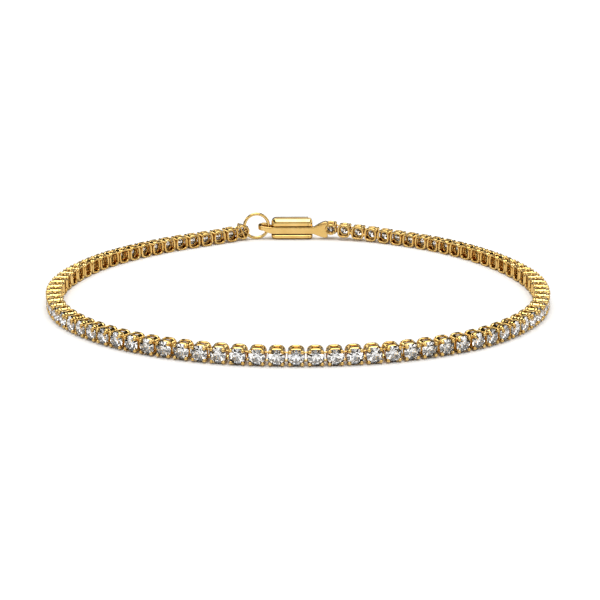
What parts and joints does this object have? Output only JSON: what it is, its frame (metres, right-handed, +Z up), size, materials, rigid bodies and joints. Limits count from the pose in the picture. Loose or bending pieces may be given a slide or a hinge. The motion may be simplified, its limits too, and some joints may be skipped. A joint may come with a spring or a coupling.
{
  "type": "tennis bracelet",
  "caption": "Flexible bracelet of square wire settings, each with a round brilliant, closed by a fold-over clasp and a jump ring, standing on its edge as an open oval.",
  "frame": {"origin": "middle of the bracelet's box, on the surface that it stands on", "axes": "+X along the clasp and the widest part of the loop, +Y from the front of the loop to the clasp at the back, +Z up across the band"},
  "size_m": [0.0598, 0.056, 0.0038],
  "materials": {
    "set_gold": "polished yellow gold",
    "satin_gold": "softly polished yellow gold",
    "polished_gold": "mirror-polished yellow gold",
    "brilliant": "cut and polished"
  },
  "bodies": {
    "bracelet": {"stone_line_left": "set_gold", "stone_line_right": "set_gold", "clasp_tongue": "satin_gold", "hinge_pin": "polished_gold", "jump_ring": "polished_gold"},
    "cover": {"clasp_cover": "polished_gold"}
  },
  "joints": [
    {"name": "cover_hinge", "type": "hinge", "parent": "bracelet", "child": "cover", "pos_m": [0.00169, 0.02681, 0.00145], "axis": [0, 0, -1], "range_deg": [0, 95]}
  ]
}
